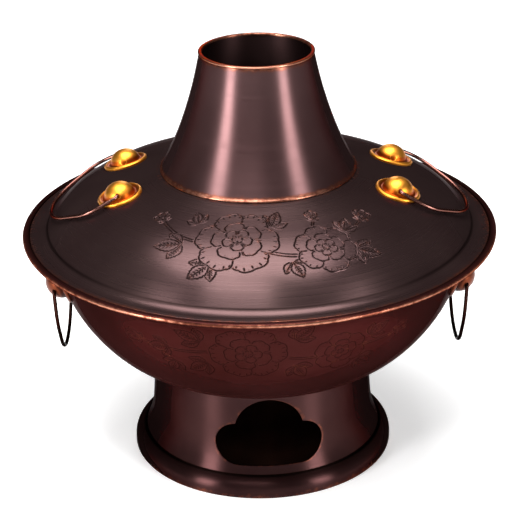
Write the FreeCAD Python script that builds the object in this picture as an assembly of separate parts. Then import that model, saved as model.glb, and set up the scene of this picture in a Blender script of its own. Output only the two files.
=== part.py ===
import FreeCAD, Part
import math
import os
from FreeCAD import Vector

# A chimney hot pot: a spun copper bowl on a hollow foot, a fire tube up its middle, a domed ring-shaped
# lid, a flared chimney that stands on the lid, and four wire bails hung in domed brass bosses.
# The pot stands on z = 0 with its axis on Z. The draught opening faces -Y, the bails are at -X and +X.
# Lengths are in millimetres and angles in degrees.

# ---------------------------------------------------------------- driving sizes

sheet = 1.5                     # spun copper sheet of every shell

# base ring and foot
shoulder_radius = 87.2          # foot where it lands on the base ring
base_band_radius = 8.8          # quarter-round band of the base ring
base_skirt_height = 4.5         # upright below the band
base_step = 1.2                 # step between the band and the foot
base_ring_wall = 3.0
base_stand_width = 4.5          # flat that stands on the table
ash_plate_height = 2.0          # underside of the ash plate above the table
foot_wall_height = 58.9         # base ring to the bowl's bottom
neck_radius = 79.4              # foot at its top
foot_flange_width = 13.0        # turned-in top flange, soldered under the bowl

# draught opening, a cloud of a crown and two side lobes
opening_turn = 3.3              # turned round the axis from straight ahead
opening_sill = 5.7              # wall left below it
opening_lobe_radius = 15.5
opening_lobe_offset = 22.5      # side lobe's centre from the opening's middle
opening_crown_radius = 24.5
opening_crown_wall = 1.4        # wall left between the crown and the top flange

# bowl
bowl_depth = 99.3               # from its bottom to the face of the brim
mouth_radius = 161.0            # outside of the wall under the brim
brim_width = 5.8                # level face that the lid lies on
lip_roll_width = 4.7
lip_roll_height = 3.4

# fire tube
tube_radius = 62.0
tube_drop = 11.4                # reach of the tube below the bowl
tube_taper_start = 10.6         # end of the straight stretch above the bowl's bottom
tube_top_inset = 8.7            # tube's top inside the chimney's outline
tube_collar_length = 8.0        # straight stretch at the top
tube_rise = 23.4                # reach of the tube above the chimney's seat
tube_flange_width = 8.0         # ring brazed round the tube on the bowl's floor
tube_flange_rise = 6.0

# charcoal grate
grate_clearance = 1.0           # to the top of the tube, so that it lifts out
grate_seat_width = 3.5          # its edge on the floor ring of the tube
grate_thickness = 6.0
grate_slot_width = 5.0
grate_bar_width = 5.0
grate_rim_width = 6.0

# lid
lid_rise = 43.9                 # from the brim to the chimney's seat
chimney_seat_width = 9.5        # flat round the hole, where the chimney stands
chimney_seat_margin = 1.0       # flat outside the chimney's skirt
lid_step_rise = 3.0             # hollow step at the foot of the dome
lid_step_width = 7.0
lid_flange_width = 5.6
lid_edge_gap = 0.5              # between the lid's edge and the rolled lip
collar_rise = 9.0
collar_drop = 6.5
locating_ring_drop = 8.7        # reach of the ring below the brim
locating_ring_gap = 2.3         # to the bowl's wall

# chimney
chimney_height = 85.4
chimney_top_radius = 40.1
skirt_radius = 70.0
hem_width = 2.2
hem_height = 1.9
rim_bead_width = 2.8
rim_bead_height = 1.5
centring_ring_rise = 3.4        # underside of the ring above the chimney's seat
centring_ring_gap = 0.6         # to the lid's collar

# bosses
boss_radius = 16.0
boss_edge_height = 1.0
boss_rim_width = 4.4            # raised rim round the groove
boss_rim_height = 2.0
boss_groove_height = 0.9
dome_radius = 10.3
eye_height = 4.3                # centre of the wire's hole above the sheet
eye_radius = 2.3
shank_radius = 2.5
shank_gap = 0.2                 # shank to the hole in the sheet
washer_radius = 6.0
washer_thickness = 1.0
nut_across_flats = 8.0
nut_thickness = 3.2
shank_tip = 1.0                 # shank past the nut

lid_boss_circle = 102.0         # radius of the lid bosses' seats
lid_boss_angle = 18.5           # either side of the X axis
bowl_boss_drop = 20.7           # bowl bosses' seats below the brim
bowl_boss_angle = 20.0

# bails
wire_radius = 1.35
wire_bend_radius = 3.5
wire_stand_off = 3.0            # leg outside the dome's face
tail_gap = 4.5                  # tail's end to the dome's far face
bail_bow_place = 0.42           # share of the reach where the legs bow most
lid_bail_reach = 57.5
lid_bail_bow = 5.5              # legs' bow, outwards from the bosses
lid_bail_nose = 21.0            # half the nose's width
lid_bail_rest_gap = 0.894       # under the wire, lying on the lid
bowl_bail_reach = 67.0
bowl_bail_bow = -8.5
bowl_bail_nose = 24.0
bowl_bail_droop_angle = 90.0    # hanging

# ---------------------------------------------------------------- sizes that follow

base_radius = shoulder_radius + base_band_radius
base_ring_height = base_skirt_height + base_band_radius + base_step
bowl_bottom = base_ring_height + foot_wall_height
brim_height = bowl_bottom + bowl_depth
opening_crown_height = bowl_bottom - sheet - opening_crown_wall
lip_inner_radius = mouth_radius - sheet + brim_width
lip_radius = lip_inner_radius + lip_roll_width
lid_edge_radius = lip_inner_radius - lid_edge_gap
lid_flat_radius = lid_edge_radius - lid_flange_width
lid_step_radius = lid_flat_radius - lid_step_width
lid_step_height = brim_height + sheet + lid_step_rise
chimney_seat_radius = skirt_radius + chimney_seat_margin
lid_hole_radius = chimney_seat_radius - chimney_seat_width
chimney_seat_height = brim_height + lid_rise
chimney_top_height = chimney_seat_height + chimney_height
tube_bottom_height = bowl_bottom - tube_drop
tube_top_height = chimney_seat_height + tube_rise

# Outlines from bottom to top, each point given as its share of the run between the outline's inner
# and outer radius and of the run between its bottom and top.
FOOT_SHAPE = [(1, 0), (0.474, 0.195), (0.218, 0.433), (0.103, 0.688), (0, 1)]
BOWL_SHAPE = [(0, 0), (0.289, 0.119), (0.501, 0.272), (0.712, 0.528), (0.853, 0.804), (0.945, 0.947), (1, 1)]
LID_SHAPE = [(1, 0), (0.825, 0.383), (0.690, 0.563), (0.542, 0.703), (0.234, 0.881), (0, 1)]
CHIMNEY_SHAPE = [(1, 0), (0.622, 0.274), (0.348, 0.532), (0.127, 0.801), (0, 1)]


def outline(shares, inner, outer, bottom, top):
    return [(inner + (outer - inner) * out, bottom + (top - bottom) * up) for out, up in shares]


foot_outline = outline(FOOT_SHAPE, neck_radius, shoulder_radius, base_ring_height, bowl_bottom)
bowl_outline = outline(BOWL_SHAPE, neck_radius, mouth_radius, bowl_bottom, brim_height - sheet)
lid_outline = outline(LID_SHAPE, chimney_seat_radius, lid_step_radius, lid_step_height, chimney_seat_height)
chimney_outline = outline(CHIMNEY_SHAPE, chimney_top_radius, skirt_radius, chimney_seat_height,
                          chimney_top_height)


def crossing(points, level, axis):
    """Where an outline crosses a radius (axis 0) or a height (axis 1)."""
    for start, end in zip(points, points[1:]):
        if min(start[axis], end[axis]) <= level <= max(start[axis], end[axis]):
            share = (level - start[axis]) / (end[axis] - start[axis])
            return tuple(a + (b - a) * share for a, b in zip(start, end))


tube_top_radius = crossing(chimney_outline, tube_top_height, 1)[0] - tube_top_inset
grate_radius = tube_top_radius - sheet - grate_clearance

# ---------------------------------------------------------------- shapes used more than once


def curve_through(points):
    """A smooth curve in the XZ plane through (radius, height) points."""
    curve = Part.BSplineCurve()
    curve.interpolate([Vector(radius, 0, height) for radius, height in points])
    return curve


def inside_face(points):
    """An upward outline moved in by the thickness of the sheet, square to its curve."""
    curve = curve_through(points)
    moved = []
    for radius, height in points:
        along = curve.tangent(curve.parameter(Vector(radius, 0, height)))[0]
        moved.append((radius - along.z * sheet, height + along.x * sheet))
    return moved


def edge_through(points):
    """A straight line through two points, an arc through three, a smooth curve through more."""
    places = [Vector(radius, 0, height) for radius, height in points]
    if len(places) == 2:
        return Part.makeLine(places[0], places[1])
    if len(places) == 3:
        return Part.Arc(places[0], places[1], places[2]).toShape()
    return curve_through(points).toShape()


def turned(*runs):
    """Solid of revolution of a closed section. Each run is a list of (radius, height) points for one
    edge, or a single corner, and straight lines join each run to the next."""
    edges = []
    for run, following in zip(runs, runs[1:] + runs[:1]):
        if len(run) > 1:
            edges.append(edge_through(run))
        if math.dist(run[-1], following[0]) > 1e-6:
            edges.append(edge_through([run[-1], following[0]]))
    solid = Part.Face(Part.Wire(edges)).revolve(Vector(0, 0, 0), Vector(0, 0, 1), 360)
    return solid if solid.Volume > 0 else solid.reversed()


def ring(inner, outer, low, high):
    """A flat-sided ring between two radii and two heights."""
    return turned([(inner, low), (outer, low)], [(outer, high), (inner, high)])


def rolled_ring(inner, outer, low, high):
    """A ring whose outside is rolled over to a half round."""
    bend = (high - low) / 2
    return turned([(outer - bend, low), (outer, low + bend), (outer - bend, high)],
                  [(inner, high), (inner, low)])


def filled(points):
    """The whole space within an upward outline, out from the axis."""
    return turned(points, [(0, points[-1][1]), (0, points[0][1])])


def joined(solids):
    return solids[0].fuse(solids[1:]).removeSplitter().Solids[0]


def largest(shape):
    return max(shape.Solids, key=lambda piece: piece.Volume)


def rounded_path(corners, radii):
    """Straight runs between corners, joined by tangent arcs. A radius of 0 gives an arc that takes up
    most of the shorter run."""
    edges = []
    start = corners[0]
    for before, corner, after, radius in zip(corners, corners[1:], corners[2:], radii):
        back = before - corner
        ahead = after - corner
        half_turn = (math.pi - back.getAngle(ahead)) / 2
        reach = radius * math.tan(half_turn) if radius else 0.45 * min(back.Length, ahead.Length)
        back.normalize()
        ahead.normalize()
        inwards = (back + ahead).normalize()
        depth = reach / math.tan(half_turn) * (1 / math.cos(half_turn) - 1)
        arc_end = corner + ahead * reach
        edges.append(Part.makeLine(start, corner + back * reach))
        edges.append(Part.Arc(corner + back * reach, corner + inwards * depth, arc_end).toShape())
        start = arc_end
    edges.append(Part.makeLine(start, corners[-1]))
    return Part.Wire(edges)


# ---------------------------------------------------------------- foot


def base_ring():
    """Turned ring under the foot: a quarter-round band, hollow inside, with a ledge for the plate."""
    band_top = base_skirt_height + base_band_radius
    inner_wall = base_radius - base_ring_wall
    stand_inner = base_radius - base_stand_width

    def quarter(radius):
        slant = radius * math.sqrt(0.5)
        return [(shoulder_radius, base_skirt_height + radius),
                (shoulder_radius + slant, base_skirt_height + slant),
                (shoulder_radius + radius, base_skirt_height)]

    hollow = quarter(base_band_radius - base_ring_wall)
    return turned([(shoulder_radius - base_ring_wall, base_ring_height), (shoulder_radius, base_ring_height)],
                  quarter(base_band_radius),
                  [(base_radius, 0), (stand_inner, 0)],
                  [(stand_inner, ash_plate_height), (inner_wall, ash_plate_height)],
                  hollow[::-1],
                  [(shoulder_radius - base_ring_wall, band_top - base_ring_wall)])


def ash_plate():
    """Flat plate on the base ring's ledge, which catches the ash."""
    return Part.makeCylinder(base_radius - base_ring_wall, sheet, Vector(0, 0, ash_plate_height))


def cloud_cutter():
    """The draught opening: two side lobes on a level sill, and a round crown over them."""
    sill = base_ring_height + opening_sill
    crown_middle = opening_crown_height - opening_crown_radius
    offset = opening_lobe_offset
    lobes = [Part.makeCylinder(opening_lobe_radius, base_radius,
                               Vector(side, 0, sill + opening_lobe_radius), Vector(0, -1, 0))
             for side in (-offset, offset)]
    crown = Part.makeCylinder(opening_crown_radius, base_radius, Vector(0, 0, crown_middle), Vector(0, -1, 0))
    middle = Part.makeBox(2 * offset, base_radius, crown_middle - sill, Vector(-offset, -base_radius, sill))
    cutter = crown.fuse(lobes + [middle])
    cutter.rotate(Vector(0, 0, 0), Vector(0, 0, 1), opening_turn)
    return cutter


def foot_shell():
    """Spun foot with a turned-in top flange and the draught opening."""
    inside = inside_face(foot_outline)
    flange_inner = neck_radius - foot_flange_width
    inside[0] = (shoulder_radius - sheet, base_ring_height)
    inside[-1] = (neck_radius - sheet, bowl_bottom - sheet)
    shell = turned(foot_outline, [(flange_inner, bowl_bottom), (flange_inner, bowl_bottom - sheet)],
                   inside[::-1])
    return shell.cut(cloud_cutter())


# ---------------------------------------------------------------- bowl and fire tube


def bowl():
    """Spun bowl with a flat bottom holed for the tube, a level brim and a rolled lip."""
    inside = inside_face(bowl_outline)
    inside[0] = (neck_radius, bowl_bottom + sheet)
    inside[-1] = (mouth_radius - sheet, brim_height)
    low = brim_height - sheet
    bend = lip_roll_height / 2
    lip = [(lip_radius - bend, low), (lip_radius, low + bend), (lip_radius - bend, low + lip_roll_height)]
    return turned(bowl_outline, lip,
                  [(lip_inner_radius, low + lip_roll_height), (lip_inner_radius, brim_height)],
                  inside[::-1],
                  [(tube_radius, bowl_bottom + sheet), (tube_radius, bowl_bottom)])


def fire_tube():
    """Tapered tube from below the bowl to above the lid, straight at both ends."""
    outside = [(tube_radius, tube_bottom_height), (tube_radius, bowl_bottom + tube_taper_start),
               (tube_top_radius, tube_top_height - tube_collar_length), (tube_top_radius, tube_top_height)]
    inside = [(radius - sheet, height) for radius, height in outside]
    return turned(outside[:2], outside[2:], inside[:1:-1], inside[1::-1])


def fire_tube_flange():
    """Angle ring brazed to the bowl's floor and to the tube."""
    floor = bowl_bottom + sheet
    outer = tube_radius + tube_flange_width
    return turned([(tube_radius, floor), (outer, floor)],
                  [(outer, floor + sheet), (tube_radius + sheet, floor + sheet)],
                  [(tube_radius + sheet, floor + tube_flange_rise), (tube_radius, floor + tube_flange_rise)])


def tube_floor_ring():
    """Ring across the foot of the tube, which carries the grate."""
    return ring(grate_radius - grate_seat_width, tube_radius - sheet, tube_bottom_height,
                tube_bottom_height + sheet)


def charcoal_grate():
    """Loose cast iron disc with parallel slots."""
    low = tube_bottom_height + sheet
    disc = Part.makeCylinder(grate_radius, grate_thickness, Vector(0, 0, low))
    pitch = grate_slot_width + grate_bar_width
    slotted = grate_radius - grate_rim_width
    last = int((slotted - grate_slot_width) // pitch)
    slots = []
    for step in range(-last, last + 1):
        middle = step * pitch
        half = math.sqrt(slotted ** 2 - (abs(middle) + grate_slot_width / 2) ** 2)
        corner = Vector(middle - grate_slot_width / 2, -half, low)
        slots.append(Part.makeBox(grate_slot_width, 2 * half, grate_thickness, corner))
    return disc.cut(slots)


# ---------------------------------------------------------------- lid


def lid():
    """Spun lid: a flat seat for the chimney, the dome, a hollow step and a flat flange."""
    bend = (lid_step_width ** 2 + lid_step_rise ** 2) / (2 * lid_step_rise)
    sweep = math.asin(lid_step_width / bend)
    top = brim_height + sheet

    def hollow(radius):
        return [(lid_flat_radius - radius * math.sin(angle), top + bend - radius * math.cos(angle))
                for angle in (0, sweep / 2, sweep)]

    inside = inside_face(lid_outline)
    inside[-1] = (chimney_seat_radius, chimney_seat_height - sheet)
    return turned([(lid_edge_radius, brim_height), (lid_edge_radius, top)],
                  hollow(bend), lid_outline,
                  [(lid_hole_radius, chimney_seat_height), (lid_hole_radius, chimney_seat_height - sheet)],
                  inside[::-1], hollow(bend + sheet)[::-1])


def lid_collar():
    """Upright collar brazed in the lid's hole, inside the chimney's skirt."""
    return ring(lid_hole_radius - sheet, lid_hole_radius, chimney_seat_height - collar_drop,
                chimney_seat_height + collar_rise)


def lid_locating_ring(lid_solid):
    """Ring soldered under the lid, which keeps it central in the bowl's mouth."""
    low = brim_height - locating_ring_drop
    outer = crossing(bowl_outline, low, 1)[0] - sheet - locating_ring_gap
    pieces = ring(outer - sheet, outer, low, lid_step_height).cut(lid_solid).Solids
    return min(pieces, key=lambda piece: piece.BoundBox.ZMin)


# ---------------------------------------------------------------- chimney


def chimney_inside():
    inside = inside_face(chimney_outline)
    inside[0] = (skirt_radius - sheet, chimney_seat_height)
    inside[-1] = (chimney_top_radius - sheet, chimney_top_height)
    return inside


def chimney_cone():
    """Spun trumpet-shaped chimney with a rolled hem at the foot of its skirt."""
    wall = turned(chimney_outline, chimney_inside()[::-1])
    hem = rolled_ring(skirt_radius - hem_width, skirt_radius, chimney_seat_height,
                      chimney_seat_height + hem_height)
    return joined([wall, hem])


def chimney_rim_bead():
    """Wire bead round the chimney's mouth."""
    outer = chimney_top_radius + (rim_bead_width - sheet) / 2
    return rolled_ring(outer - rim_bead_width, outer, chimney_top_height, chimney_top_height + rim_bead_height)


def chimney_centring_ring():
    """Flat ring brazed inside the skirt, which fits round the lid's collar."""
    low = chimney_seat_height + centring_ring_rise
    blank = ring(lid_hole_radius + centring_ring_gap, skirt_radius, low, low + sheet)
    return largest(blank.common(filled(chimney_inside())))


# ---------------------------------------------------------------- bosses and their fasteners


def seat_on(points, level, axis):
    """Where an outline crosses a radius or height: its radius, height and tilt, which is the angle of
    the outward normal above level."""
    curve = curve_through(points)
    radius, height = crossing(points, level, axis)
    place = curve.parameter(Vector(radius, 0, height))
    point = curve.value(place)
    along = curve.tangent(place)[0]
    return point.x, point.z, math.degrees(math.atan2(-along.x, along.z))


def seated(shape, seat, angle):
    """A shape made about +Z from z = 0, moved to a seat and turned round the pot."""
    radius, height, tilt = seat
    moved = shape.copy()
    moved.rotate(Vector(0, 0, 0), Vector(0, 1, 0), 90 - tilt)
    moved.translate(Vector(radius, 0, height))
    moved.rotate(Vector(0, 0, 0), Vector(0, 0, 1), angle)
    return moved


def eye_place(seat, angle):
    """Centre of the wire's hole in the dome of a boss."""
    radius, height, tilt = seat
    out = radius + eye_height * math.cos(math.radians(tilt))
    up = height + eye_height * math.sin(math.radians(tilt))
    return Vector(out * math.cos(math.radians(angle)), out * math.sin(math.radians(angle)), up)


def boss(seat, angle, carrier):
    """One boss: a saucer with a raised rim and a round dome, cut to sit on its carrier, with a shank
    through the sheet and a hole for the wire along Y."""
    below = -boss_rim_height
    groove = boss_radius - boss_rim_width
    crest = boss_radius - boss_rim_width / 2.5
    foot = math.sqrt(dome_radius ** 2 - boss_groove_height ** 2)
    slant = dome_radius * math.sqrt(0.5)
    body = turned([(0, below), (boss_radius, below)],
                  [(boss_radius, boss_edge_height), (crest, boss_rim_height), (groove, boss_groove_height)],
                  [(foot, boss_groove_height), (slant, slant), (0, dome_radius)])
    length = sheet + washer_thickness + nut_thickness + shank_tip
    shank = Part.makeCylinder(shank_radius, length + boss_groove_height, Vector(0, 0, -length))
    eye = Part.makeCylinder(eye_radius, 4 * dome_radius, eye_place(seat, angle) - Vector(0, 2 * dome_radius, 0),
                            Vector(0, 1, 0))
    bedded = largest(seated(body, seat, angle).cut(carrier))
    return joined([bedded, seated(shank, seat, angle)]).cut(eye).Solids[0]


def shank_hole(seat, angle):
    return seated(Part.makeCylinder(shank_radius + shank_gap, 6 * sheet, Vector(0, 0, -3 * sheet)), seat, angle)


def washer(seat, angle, holed_sheet):
    """Washer that beds against the inside of the sheet."""
    deep = sheet + washer_thickness
    disc = Part.makeCylinder(washer_radius, deep - sheet / 2, Vector(0, 0, -deep))
    hole = Part.makeCylinder(shank_radius, deep, Vector(0, 0, -deep))
    return largest(seated(disc.cut(hole), seat, angle).cut(holed_sheet))


def nut(seat, angle):
    low = -(sheet + washer_thickness + nut_thickness)
    corner_radius = nut_across_flats / math.sqrt(3)
    corners = [Vector(corner_radius * math.cos(math.radians(60 * step)),
                      corner_radius * math.sin(math.radians(60 * step)), low) for step in range(7)]
    prism = Part.Face(Part.makePolygon(corners)).extrude(Vector(0, 0, nut_thickness))
    return seated(prism.cut(Part.makeCylinder(shank_radius, nut_thickness, Vector(0, 0, low))), seat, angle)


def four_places(shape):
    """A shape made at the right rear, mirrored to the front and turned half round to the left."""
    front = shape.mirror(Vector(0, 0, 0), Vector(0, 1, 0))
    half_turn = FreeCAD.Placement(Vector(0, 0, 0), FreeCAD.Rotation(Vector(0, 0, 1), 180))
    turned_front = front.transformed(half_turn.toMatrix(), True)
    turned_rear = shape.transformed(half_turn.toMatrix(), True)
    return {"right_rear": shape, "right_front": front, "left_front": turned_rear, "left_rear": turned_front}


# ---------------------------------------------------------------- bails


def bail_half(seat, angle, reach, bow, nose):
    """Half of a flat bail, whose tail lies in a boss's eye and whose leg bows out to the nose: how far
    each corner is from the pivot and from the bail's middle."""
    eye = eye_place(seat, angle)
    lean = eye_height * math.cos(math.radians(seat[2])) * math.sin(math.radians(angle))
    chord = math.sqrt(lean ** 2 + dome_radius ** 2 - eye_height ** 2)
    leg = eye.y + chord - lean + wire_stand_off
    tail = eye.y - chord - lean + tail_gap
    return [(0, tail), (0, leg), (bail_bow_place * reach, leg + bow), (reach, nose)]


def resting_droop(points, eye, half, gap):
    """The angle below level at which a bail comes to rest with a gap between its wire and an outline."""
    curve = curve_through(points)
    corners = half[1:] + [(half[-1][0], 0)]
    places = [(start[0] + (end[0] - start[0]) * step / 12, start[1] + (end[1] - start[1]) * step / 12)
              for start, end in zip(corners, corners[1:]) for step in range(1, 13)]

    def height_above(droop):
        heights = []
        for run, width in places:
            out = eye.x + run * math.cos(math.radians(droop))
            wire = Vector(math.hypot(out, width), 0, eye.z - run * math.sin(math.radians(droop)))
            rise = wire - curve.value(curve.parameter(wire))
            heights.append(math.copysign(rise.Length, rise.z))
        return min(heights)

    clear, blocked = 0, 90
    while blocked - clear > 1e-5:
        droop = (clear + blocked) / 2
        if height_above(droop) > wire_radius + gap:
            clear = droop
        else:
            blocked = droop
    return clear


def bail(eye, side, half, droop):
    """A wire bail on one side of the pot, -1 the left and 1 the right, at an angle below level."""
    pivot = Vector(side * eye.x, 0, eye.z)
    away = Vector(side * math.cos(math.radians(droop)), 0, -math.sin(math.radians(droop)))
    corners = [pivot + away * run - Vector(0, width, 0) for run, width in half]
    corners += [pivot + away * run + Vector(0, width, 0) for run, width in reversed(half)]
    path = rounded_path(corners, [wire_bend_radius, 0, 0, 0, 0, wire_bend_radius])
    section = Part.Wire(Part.makeCircle(wire_radius, corners[0], Vector(0, 1, 0)))
    return path.makePipeShell([section], True, True)


# ---------------------------------------------------------------- the whole pot


def with_bosses(name, shell, outline_points, seat, angle):
    """A shell holed for its four bosses, the bosses, and their washers and nuts."""
    holes = list(four_places(shank_hole(seat, angle)).values())
    holed = shell.cut(holes)
    nodes = {name: holed}
    for place, shape in four_places(boss(seat, angle, filled(outline_points))).items():
        nodes[name + "_boss_" + place] = shape
    nodes[name + "_boss_washers"] = Part.makeCompound(list(four_places(washer(seat, angle, holed)).values()))
    nodes[name + "_boss_nuts"] = Part.makeCompound(list(four_places(nut(seat, angle)).values()))
    return nodes


def build():
    bowl_seat = seat_on(bowl_outline, brim_height - bowl_boss_drop, 1)
    lid_seat = seat_on(lid_outline, lid_boss_circle, 0)
    bowl_eye = eye_place(bowl_seat, bowl_boss_angle)
    lid_eye = eye_place(lid_seat, lid_boss_angle)
    bowl_half = bail_half(bowl_seat, bowl_boss_angle, bowl_bail_reach, bowl_bail_bow, bowl_bail_nose)
    lid_half = bail_half(lid_seat, lid_boss_angle, lid_bail_reach, lid_bail_bow, lid_bail_nose)
    lid_bail_droop = resting_droop(lid_outline, lid_eye, lid_half, lid_bail_rest_gap)
    nodes = {
        "foot_base_ring": base_ring(),
        "foot_ash_plate": ash_plate(),
        "foot_shell": foot_shell(),
        "fire_tube": fire_tube(),
        "fire_tube_flange": fire_tube_flange(),
        "tube_floor_ring": tube_floor_ring(),
        "charcoal_grate": charcoal_grate(),
        "lid_collar": lid_collar(),
        "chimney_cone": chimney_cone(),
        "chimney_rim_bead": chimney_rim_bead(),
        "chimney_centring_ring": chimney_centring_ring(),
    }
    nodes.update(with_bosses("bowl", bowl(), bowl_outline, bowl_seat, bowl_boss_angle))
    nodes.update(with_bosses("lid", lid(), lid_outline, lid_seat, lid_boss_angle))
    nodes["lid_locating_ring"] = lid_locating_ring(nodes["lid"])
    for side, word in ((-1, "left"), (1, "right")):
        nodes["lid_bail_" + word] = bail(lid_eye, side, lid_half, lid_bail_droop)
        nodes["bowl_bail_" + word] = bail(bowl_eye, side, bowl_half, bowl_bail_droop_angle)
    return nodes


os.makedirs("parts", exist_ok=True)
for node, shape in build().items():
    shape.exportStep(os.path.join("parts", node + ".step"))
    print(node, len(shape.Solids), round(shape.Volume, 1), shape.isValid())
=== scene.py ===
import math
from functools import partial
import bmesh
import bpy
import numpy as np
from mathutils import Matrix, Vector


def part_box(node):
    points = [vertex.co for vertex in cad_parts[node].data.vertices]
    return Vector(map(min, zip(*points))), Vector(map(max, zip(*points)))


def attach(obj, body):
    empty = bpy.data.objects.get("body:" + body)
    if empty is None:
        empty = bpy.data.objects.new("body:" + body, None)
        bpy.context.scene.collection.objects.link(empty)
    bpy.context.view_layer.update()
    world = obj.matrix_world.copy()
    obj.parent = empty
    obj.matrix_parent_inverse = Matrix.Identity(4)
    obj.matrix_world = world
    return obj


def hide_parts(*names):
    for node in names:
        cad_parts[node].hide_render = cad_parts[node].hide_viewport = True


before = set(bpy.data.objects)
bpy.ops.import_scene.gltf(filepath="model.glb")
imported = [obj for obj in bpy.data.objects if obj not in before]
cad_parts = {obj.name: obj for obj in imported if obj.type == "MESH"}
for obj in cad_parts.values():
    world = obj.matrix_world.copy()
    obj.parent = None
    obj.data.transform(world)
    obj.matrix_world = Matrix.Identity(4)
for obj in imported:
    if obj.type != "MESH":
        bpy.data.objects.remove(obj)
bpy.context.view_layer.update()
MM = 0.001

# ------------------------------------------------------------------------------------------------
# Base ring: a turned copper ring with a quarter-round band, which carries the pot, and a ledge inside
# it for the ash plate. The foot is soldered onto its top, and both have the same dull, dark patina.

SHEET = 1.5
SHOULDER = 87.2
BAND_RADIUS = 8.8
SKIRT_HEIGHT = 4.5
RING_TOP = 14.5
RING_WALL = 3.0
TREAD = SHOULDER + BAND_RADIUS        # outer radius, where the ring stands on the table
LEDGE_INNER = 91.5
PLATE_RADIUS = 93.0
PLATE_HEIGHT = 2.0


def linear(hex_colour):
    """sRGB hex colour as a linear RGBA tuple."""
    srgb = np.array([int(hex_colour[i:i + 2], 16) for i in (1, 3, 5)]) / 255
    return (*np.where(srgb <= 0.04045, srgb / 12.92, ((srgb + 0.055) / 1.055) ** 2.4), 1.0)


def node_in(holder, kind, links=(), **settings):
    """Adds one shader node to a material or world. A setting is a property of the node, the name of an
    input with _ for a space, or _ and an input's number. A link is (input, other node, its output)."""
    tree = holder.node_tree
    node = tree.nodes.new("ShaderNode" + kind)
    for name, value in settings.items():
        socket = name.replace("_", " ").strip()
        if hasattr(node, name):
            setattr(node, name, value)
        else:
            node.inputs[int(socket) if socket.isdigit() else socket].default_value = value
    for target, source, output in links:
        tree.links.new(source.outputs[output], node.inputs[target])
    return node


def new_material(name):
    """A material without any nodes."""
    material = bpy.data.materials.new(name)
    material.use_nodes = True
    material.node_tree.nodes.clear()
    return material


# Antique patina: a thin red-brown oxide on spun copper, brushed in rings on the lathe. It gives a dark
# metal that stays dark at its edges, where edge_on is its colour, and the brushing draws highlights out
# across its rings.
def antique_patina(name, dark, light, edge_on, roughness, metallic, brushing=0.7, gloss=0.0):
    material = new_material(name)
    add = partial(node_in, material)
    turned = add("UVMap", uv_map="turned")
    whole = add("TexCoord")
    metre = add("SeparateXYZ", [("Vector", turned, "UV")])
    # brush rings 0.9 mm apart and about 250 mm long; real ones are finer, but would not show
    around = add("Math", [(0, metre, "X")], operation="MULTIPLY", _1=1 / 0.25)
    across = add("Math", [(0, metre, "Y")], operation="MULTIPLY", _1=1 / 0.0009)
    stretched = add("CombineXYZ", [("X", around, 0), ("Y", across, 0)])
    rings = add("TexNoise", [("Vector", stretched, 0)], Scale=1.0, Detail=3.0, Roughness=0.6)
    # oxide clouds 60 mm across, and specks of 4 mm that break up the edges of the wear
    clouds = add("TexNoise", [("Vector", whole, "Object")], Scale=1 / 0.06, Detail=4.0, Roughness=0.55)
    specks = add("TexNoise", [("Vector", whole, "Object")], Scale=1 / 0.004, Detail=3.0, Roughness=0.65)
    tone = add("MapRange", [("Value", clouds, 0)], From_Min=0.35, From_Max=0.68)
    oxide = add("Mix", [("Factor", tone, 0)], data_type="RGBA", _6=linear(dark), _7=linear(light))
    # bare copper where edges are rubbed, a warmer brown round it; the same mask also gives painted
    # highlights on the engraved burrs and along the base ring's shoulder
    worn = add("Attribute", attribute_name="worn")
    speckle = add("Math", [(0, specks, 0)], operation="MULTIPLY_ADD", _1=0.9, _2=-0.45)
    patchy = add("MapRange", [("Value", clouds, 0)], From_Min=0.35, From_Max=0.65, To_Min=0.6,
                 To_Max=1.25)
    rubbed_and_highlit = add("Math", [(0, worn, "Fac"), (1, patchy, 0), (2, speckle, 0)], operation="MULTIPLY_ADD")
    warm = add("MapRange", [("Value", rubbed_and_highlit, 0)], From_Min=0.2, From_Max=0.6)
    bare_and_highlit = add("MapRange", [("Value", rubbed_and_highlit, 0)], From_Min=0.5, From_Max=0.8)
    warm_toned = add("Mix", [("Factor", warm, 0), (6, oxide, 2)], data_type="RGBA", _7=linear("#74402F"))
    coppery = add("Mix", [("Factor", bare_and_highlit, 0), (6, warm_toned, 2)], data_type="RGBA", _7=linear("#B87E68"))
    # soot inside the fire's way and old polish in engraved grooves; the same near-black is also painted
    # shade in the gaps, creases and corners between parts
    soot = add("Attribute", attribute_name="soot")
    grimy_and_shaded = add("Mix", [("Factor", soot, "Fac"), (6, coppery, 2)], data_type="RGBA",
                _7=linear("#100806"))
    sheen = add("MapRange", [("Value", rings, 0)], From_Min=0.3, From_Max=0.7, To_Min=roughness - 0.03,
                To_Max=roughness + 0.06)
    dulled = add("Math", [(0, soot, "Fac"), (2, sheen, 0)], operation="MULTIPLY_ADD", _1=0.45)
    # where it is rubbed bare, sooty or painted dark as shade, nothing clear is left on the metal
    stripped = add("Math", [(0, bare_and_highlit, 0), (1, soot, "Fac")], operation="MAXIMUM")
    metal = add("MapRange", [("Value", stripped, 0)], To_Min=metallic)
    relief = add("Bump", [("Height", rings, 0)], Strength=0.35, Distance=0.03 * MM)
    grain = add("Tangent", direction_type="UV_MAP", uv_map="turned")
    surface = add("BsdfPrincipled",
                  [("Base Color", grimy_and_shaded, 2), ("Roughness", dulled, 0), ("Metallic", metal, 0),
                   ("Normal", relief, 0), ("Tangent", grain, 0)], Anisotropic=brushing,
                  Anisotropic_Rotation=0.25, Specular_IOR_Level=gloss, Specular_Tint=linear(edge_on))
    add("OutputMaterial", [("Surface", surface, 0)])
    return material


dull_patina = antique_patina("dull_antique_patina", "#321F1F", "#3E2827", "#4A3030", roughness=0.31,
                             metallic=0.85, brushing=0.9)


def arc_run(centre, radius, start, end, count):
    """Arc about (radius, height) centre, from one angle to another in degrees, 0 outwards and 90 up."""
    angle = np.radians(np.linspace(start, end, count))
    return np.array(centre) + radius * np.stack([np.cos(angle), np.sin(angle)], 1)


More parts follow.
